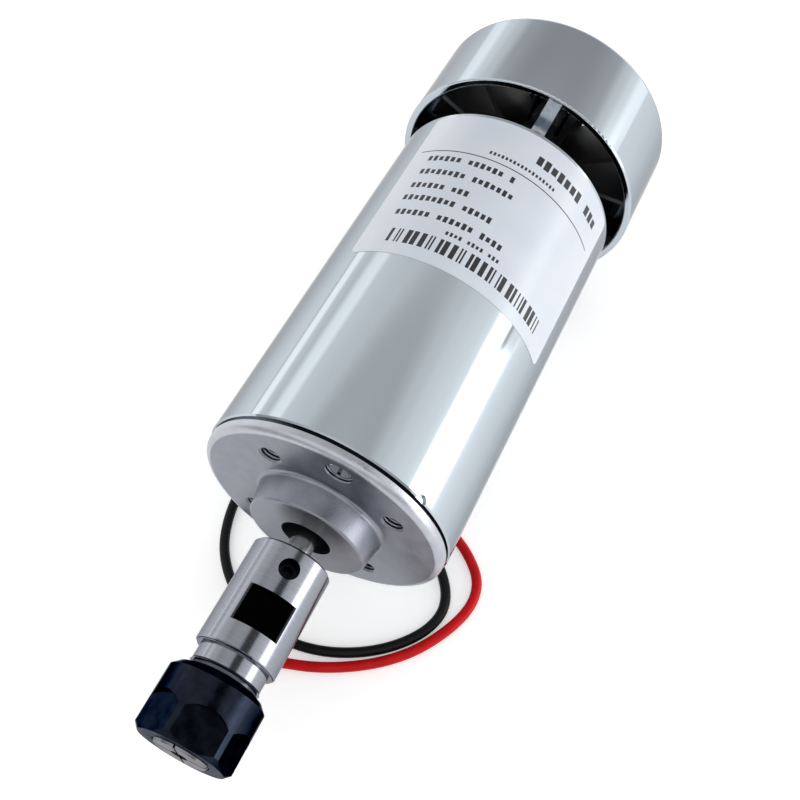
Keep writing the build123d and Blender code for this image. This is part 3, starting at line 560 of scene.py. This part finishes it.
# Plain marks in place of print. A row of blocks is its x, first and last clock, height, block and
# gap in mm, and the blocks in a word; the band of bars and the line are x from and to, and clock
# from and to. Heights and widths vary by sines of the block's number.
labelMarks = {
    "surface": 26.068, "thickness": 0.008,
    "rows": [(-82.5, 69, 22, 2.8, 1.35, 0.55, 7), (-78.5, 90, 54, 1.0, 0.5, 0.4, 30),
             (-74.0, 117, 70, 1.7, 0.85, 0.5, 6), (-69.8, 117, 68.5, 1.7, 0.85, 0.5, 8),
             (-65.5, 117, 87, 1.7, 0.85, 0.5, 6), (-61.7, 117, 72, 1.7, 0.85, 0.5, 9),
             (-57.3, 116, 60, 1.7, 0.85, 0.5, 6), (-54.2, 88, 59, 1.1, 0.55, 0.4, 4)],
    "bars": (-52.4, -48.7, 112, 26), "line": (-76.6, -76.35, 124, 21), "lineParts": 40,
    "blockTall": 0.86, "blockSwing": 0.14, "blockStep": 2.4,
    "barMost": 200, "barUnit": 0.35, "barSwing": 1.49, "barStep": 5.1,
    "barGapSwing": 1.2, "barGapStep": 3.7, "columns": 5,
}


def clockTurn(length):
    # the degrees that a length in mm takes round the tube
    return np.degrees(length / sheet["tubeRadius"])


def blocksInRow(row):
    # blocks of one width side by side; the place after each word is left out
    x, first, last, height, block, gap, word = row
    count = int(radians(first - last) * sheet["tubeRadius"] / (block + gap))
    number = np.arange(count)
    number = number[number % (word + 1) != word]
    start = first - clockTurn((block + gap) * number)
    swing = labelMarks["blockSwing"] * np.sin(number * labelMarks["blockStep"])
    tall = height * (labelMarks["blockTall"] + swing)
    return np.stack([x - tall / 2, x + tall / 2, start - clockTurn(block), start], -1)


def barsInBand(band):
    # upright bars and gaps whose widths are one, two or three units
    rear, front, first, last = band
    number, unit = np.arange(labelMarks["barMost"]), labelMarks["barUnit"]
    barWave = 1 + np.sin(number * labelMarks["barStep"])
    gapWave = 1 + np.sin(number * labelMarks["barGapStep"] + 1)
    width = unit * (1 + np.floor(labelMarks["barSwing"] * barWave))
    gap = unit * (1 + np.floor(labelMarks["barGapSwing"] * gapWave))
    ends = np.cumsum(width + gap)
    start = first - clockTurn(ends - width - gap)
    stop = start - clockTurn(width)
    keep = stop > last
    rears, fronts = np.full(keep.sum(), rear), np.full(keep.sum(), front)
    return np.stack([rears, fronts, stop[keep], start[keep]], -1)


def buildLabelMarks():
    # each block is a bent patch, two points by some columns, between its x and clock limits
    rear, front, first, last = labelMarks["line"]
    parts, columns = labelMarks["lineParts"], labelMarks["columns"]
    steps = np.linspace(first, last, parts + 1)
    line = np.stack([np.full(parts, rear), np.full(parts, front), steps[1:], steps[:-1]], -1)
    blocks = np.concatenate([*[blocksInRow(row) for row in labelMarks["rows"]],
                             barsInBand(labelMarks["bars"]), line])
    u = np.array([0, 1])[None, :, None]
    v = np.linspace(0, 1, columns)[None, None, :]
    rears, fronts, stops, starts = blocks.T[:, :, None, None]
    x = rears + u * (fronts - rears) + 0 * v
    clock = stops + v * (starts - stops) + 0 * u
    firstPoint = 2 * columns * np.arange(len(blocks))[:, None, None]
    faces = (gridFaces(2, columns)[None] + firstPoint).reshape(-1, 4)
    addSheet("labelMarks", x, clock, labelMarks, faces, labelInk())


buildLabel()
buildLabelMarks()
print("label built")


# The leads: the height of those parts that lie on the floor in mm, then each one's diameter in mm,
# its length in metres and its route in mm from its terminal; and how finely their curves are drawn.
leadZ = -27.75
cordDetail = {"along": 10, "round": 5}
redLead = {"colours": ("#B80308", "#CC060C"), "diameter": 2.2, "length": 0.1727, "points": [
    (-89.5, 12.0, -15.9), (-91.9, 12.0, -15.9), (-95.0, 12.4, -19.0), (-95.0, 12.8, -23.9),
    (-91.5, 13.0, leadZ), (-83.0, 12.4, leadZ), (-70.0, 9.6, leadZ), (-54.0, 8.2, leadZ),
    (-39.0, 8.8, leadZ), (-27.4, 13.0, leadZ), (-20.4, 19.3, leadZ), (-17.2, 25.1, leadZ),
    (-11.6, 30.4, leadZ), (-4.0, 30.7, leadZ), (6.5, 25.5, leadZ), (13.9, 18.1, leadZ),
    (19.7, 7.9, leadZ), (22.5, -2.2, leadZ), (27.6, -9.0, leadZ), (36.0, -12.4, leadZ)]}
blackLead = {"colours": ("#030304", "#070708"), "diameter": 2.2, "length": 0.2074, "points": [
    (-89.5, -12.0, -15.9), (-91.9, -12.0, -15.9), (-95.0, -12.3, -19.0), (-95.0, -12.5, -23.9),
    (-91.5, -12.4, leadZ), (-83.0, -11.2, leadZ), (-70.0, -8.2, leadZ), (-54.0, -5.8, leadZ),
    (-39.0, -3.4, leadZ), (-27.8, 1.5, leadZ), (-20.4, 9.1, leadZ), (-14.1, 18.8, leadZ),
    (-5.7, 26.0, leadZ), (2.2, 25.3, leadZ), (10.4, 18.5, leadZ), (16.1, 8.3, leadZ),
    (17.7, -2.7, leadZ), (14.1, -13.9, leadZ), (6.4, -22.7, leadZ), (-3.2, -26.6, leadZ),
    (-13.3, -27.4, leadZ), (-23.0, -24.6, leadZ)]}
# The bare strands in mm: they start inside the insulation and lie in a helix round a core.
strands = {"count": 6, "radius": 0.235, "length": 5.0, "start": 0.4, "pitch": 9.0,
           "lay": 1.92, "closed": 0.02, "sides": 12, "steps": 24}


def layRoute(name, lead):
    # one NURBS line drawn by the route's control points, from the first to the last
    curve = bpy.data.curves.new(name, "CURVE")
    curve.dimensions = "3D"
    curve.resolution_u = cordDetail["along"]
    spline = curve.splines.new("NURBS")
    points = np.array(lead["points"]) * mm
    spline.points.add(len(points) - 1)
    spline.points.foreach_set("co", np.c_[points, np.ones(len(points))].ravel())
    spline.order_u = 3
    spline.use_endpoint_u = True
    return curve


def readLine(curve):
    # the points of the NURBS line itself, read while the curve has no bevel
    plain = bpy.data.objects.new("plainLine", curve)
    mesh = bpy.data.meshes.new_from_object(plain)
    line = np.empty(3 * len(mesh.vertices))
    mesh.vertices.foreach_get("co", line)
    bpy.data.objects.remove(plain)
    bpy.data.meshes.remove(mesh)
    return line.reshape(-1, 3)


def buildLead(curve, lead, node):
    # a round cord along the route
    curve.bevel_depth = lead["diameter"] / 2 * mm
    curve.bevel_resolution = cordDetail["round"]
    curve.use_fill_caps = True
    curve.materials.append(softPvc(curve.name + "Pvc", *lead["colours"]))
    piece = bpy.data.objects.new(curve.name, curve)
    bpy.context.scene.collection.objects.link(piece)
    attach(piece, "housing")
    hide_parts(node)


def strandTube(line, way):
    # the strands are helices round the end of the line, with a core; each is a closed round tube
    s = strands
    along = np.linspace(-s["start"], s["length"], s["steps"])[None, :, None] * mm
    number = np.arange(s["count"] + 1)[:, None, None]
    lay = np.where(number == s["count"], 0, s["lay"] * s["radius"] * mm)
    across, up = np.array([-way[1], way[0], 0.0]), np.array([0.0, 0.0, 1.0])
    turn = 2 * pi * (number / s["count"] + along / (s["pitch"] * mm))
    middle = line[-1] + along * way + lay * (np.cos(turn) * across + np.sin(turn) * up)
    side = np.arange(s["sides"])[:, None] / s["sides"] * 2 * pi
    ring = s["radius"] * mm * (np.cos(side) * across + np.sin(side) * up)
    size = np.ones(s["steps"])
    size[[0, -1]] = s["closed"]  # both ends close almost to a point
    return middle[:, :, None, :] + size[None, :, None, None] * ring


def buildLeadTips(lines):
    # the bare strands carry on from the last point of each route, along its last step
    rows, columns = strands["steps"], strands["sides"]
    lastSteps = [line[-1] - line[-2] for line in lines]
    points = np.concatenate([strandTube(line, step / np.linalg.norm(step))
                             for line, step in zip(lines, lastSteps)])
    firstPoint = rows * columns * np.arange(len(points))[:, None, None]
    faces = (gridFaces(rows, columns, wrap=True)[None] + firstPoint).reshape(-1, 4)
    piece = addPiece("leadTips", points, faces, tinnedCopper(), "housing")
    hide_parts("lead_tips")
    return piece


redRoute, blackRoute = layRoute("leadRedCord", redLead), layRoute("leadBlackCord", blackLead)
leadTips = buildLeadTips([readLine(redRoute), readLine(blackRoute)])
buildLead(redRoute, redLead, "lead_red")
buildLead(blackRoute, blackLead, "lead_black")
print("leads built")


# The floor: half its side in metres, its height and grain in mm, and how far it is lifted to white.
floor = {"half": 6.0, "height": -28.85, "grain": 60, "colour": "#F0F0F0", "whiten": 0.4}


def buildFloor():
    half, z = floor["half"], floor["height"] * mm
    corners = [(-half, -half, z), (half, -half, z), (half, half, z), (-half, half, z)]
    mesh = bpy.data.meshes.new("floor")
    mesh.from_pydata(corners, [], [(0, 1, 2, 3)])
    # painted board; for the camera and in reflections it is lifted to white, and keeps its shadows
    material, tree, shader = newMaterial("paintedBoard", floor["colour"], Roughness=0.9,
                                         Emission_Color=(1, 1, 1, 1))
    grain = addNode(tree, "TexNoise", {"Vector": objectPoints(tree),
                                       "Scale": perMetre(floor["grain"])})["Fac"]
    colour = addNode(tree, "ValToRGB", {"Fac": grain}, twoColours("#EEEEEE", "#F2F2F2"))["Color"]
    path = addNode(tree, "LightPath", {})
    seen = addNode(tree, "Math", {0: path["Is Camera Ray"], 1: path["Is Glossy Ray"]},
                   operation="ADD")[0]
    seen = addNode(tree, "Math", {0: seen, 1: path["Is Transmission Ray"]}, operation="ADD")[0]
    lift = addNode(tree, "Math", {0: seen, 1: floor["whiten"]}, operation="MULTIPLY")[0]
    setInputs(shader, {"Base Color": colour, "Emission Strength": lift})
    mesh.materials.append(material)
    piece = bpy.data.objects.new("floor", mesh)
    bpy.context.scene.collection.objects.link(piece)


# Brightness of the studio's walls and ceiling by height, which is the sine of the elevation, on
# each side, and where one side turns into the next along X or Y; then a round dark shade overhead,
# by its direction and the cosines of its edge. The brightest wall is the peak.
studio = {
    "rightSide": [(0.0, 0.9), (0.03, 0.45), (0.055, 0.5), (0.09, 4.0), (0.25, 3.8), (0.32, 1.25),
                  (0.46, 1.1), (0.61, 1.0), (0.72, 0.85), (0.84, 0.6), (1.0, 0.7)],
    "leftSide": [(0.0, 0.8), (0.05, 1.6), (0.12, 1.55), (0.18, 0.95), (0.28, 0.85), (0.38, 1.3),
                 (0.47, 1.35), (0.53, 0.95), (0.74, 0.85), (0.86, 0.62), (1.0, 0.75)],
    "rear": [(0.0, 1.6), (0.12, 1.6), (0.22, 1.15), (0.34, 0.9), (0.45, 0.55), (0.62, 0.42),
             (0.8, 0.5), (1.0, 0.7)],
    "front": [(0.0, 0.4), (0.3, 0.55), (0.55, 0.9), (0.75, 1.2), (0.9, 1.1), (1.0, 0.75)],
    "turns": [("rightSide", "Y", -0.25, 0.25), ("rear", "X", -0.56, -0.76),
              ("front", "X", -0.1, 0.3)],
    "peak": 4.0,
    "shade": {"direction": (-0.19, 0.42, 0.888), "inner": 0.985, "outer": 0.968, "bright": 0.08},
}


# A white card lit from within stands on the floor beside the tube and faces it: its place and size
# in metres, and the brightness of its face.
card = {"middle": (-0.03, 0.27, 0.004), "width": 0.36, "height": 0.066, "bright": 2.2}


def buildCard():
    light = bpy.data.lights.new("lightCard", "AREA")
    light.shape = "RECTANGLE"
    light.size, light.size_y = card["width"], card["height"]
    light.energy = pi * card["width"] * card["height"] * card["bright"]
    piece = bpy.data.objects.new("lightCard", light)
    piece.location = card["middle"]
    piece.rotation_euler = (-pi / 2, 0, 0)
    bpy.context.scene.collection.objects.link(piece)


def grey(bright):
    # a brightness as a share of the peak
    return (*[bright / studio["peak"]] * 3, 1)


def buildStudioLight():
    # the sides mix into one another, starting from the left, and the shade lies over them
    world = bpy.data.worlds.new("studio")
    world.use_nodes = True
    bpy.context.scene.world = world
    tree = world.node_tree
    way = addNode(tree, "TexCoord", {})["Generated"]
    direction = addNode(tree, "SeparateXYZ", {"Vector": way})
    walls = {}
    for side in ("leftSide", "rightSide", "rear", "front"):
        stops = [(height, grey(bright)) for height, bright in studio[side]]
        walls[side] = addNode(tree, "ValToRGB", {"Fac": direction["Z"]}, stops)["Color"]
        walls[side].node.color_ramp.interpolation = "EASE"
    whole = walls["leftSide"]
    for side, axis, start, end in studio["turns"]:
        turn = addNode(tree, "MapRange", {"Value": direction[axis], "From Min": start,
                                          "From Max": end}, **smooth)["Result"]
        whole = addNode(tree, "Mix", {0: turn, 6: whole, 7: walls[side]}, data_type="RGBA")[2]
    shade = studio["shade"]
    nearness = addNode(tree, "VectorMath", {0: way, 1: shade["direction"]},
                       operation="DOT_PRODUCT")["Value"]
    dark = addNode(tree, "MapRange", {"Value": nearness, "From Min": shade["outer"],
                                      "From Max": shade["inner"]}, **smooth)["Result"]
    whole = addNode(tree, "Mix", {0: dark, 6: whole, 7: grey(shade["bright"])}, data_type="RGBA")[2]
    setInputs(tree.nodes["Background"], {"Color": whole, "Strength": studio["peak"]})


# The camera: where it stands in mm, its right, up and backward directions, its lens and sensor in
# mm, and the range it sees in metres.
camera = {"place": (75.31, 53.42, 181.05), "right": (-0.4346, 0.9006, 0.0),
          "up": (-0.7562, -0.3649, 0.5431), "back": (0.4892, 0.2360, 0.8396),
          "lens": 47.11, "sensor": 36.0, "nearest": 0.01, "furthest": 20}


def buildCamera():
    data = bpy.data.cameras.new("camera")
    data.lens, data.sensor_width = camera["lens"], camera["sensor"]
    data.clip_start, data.clip_end = camera["nearest"], camera["furthest"]
    piece = bpy.data.objects.new("camera", data)
    matrix = np.eye(4)
    place = np.array(camera["place"]) * mm
    matrix[:3] = np.array([camera["right"], camera["up"], camera["back"], place]).T
    piece.matrix_world = Matrix(matrix.tolist())
    bpy.context.scene.collection.objects.link(piece)
    bpy.context.scene.camera = piece


buildFloor()
buildCard()
buildStudioLight()
buildCamera()
bpy.context.scene.view_settings.view_transform = "Standard"
print("studio built")
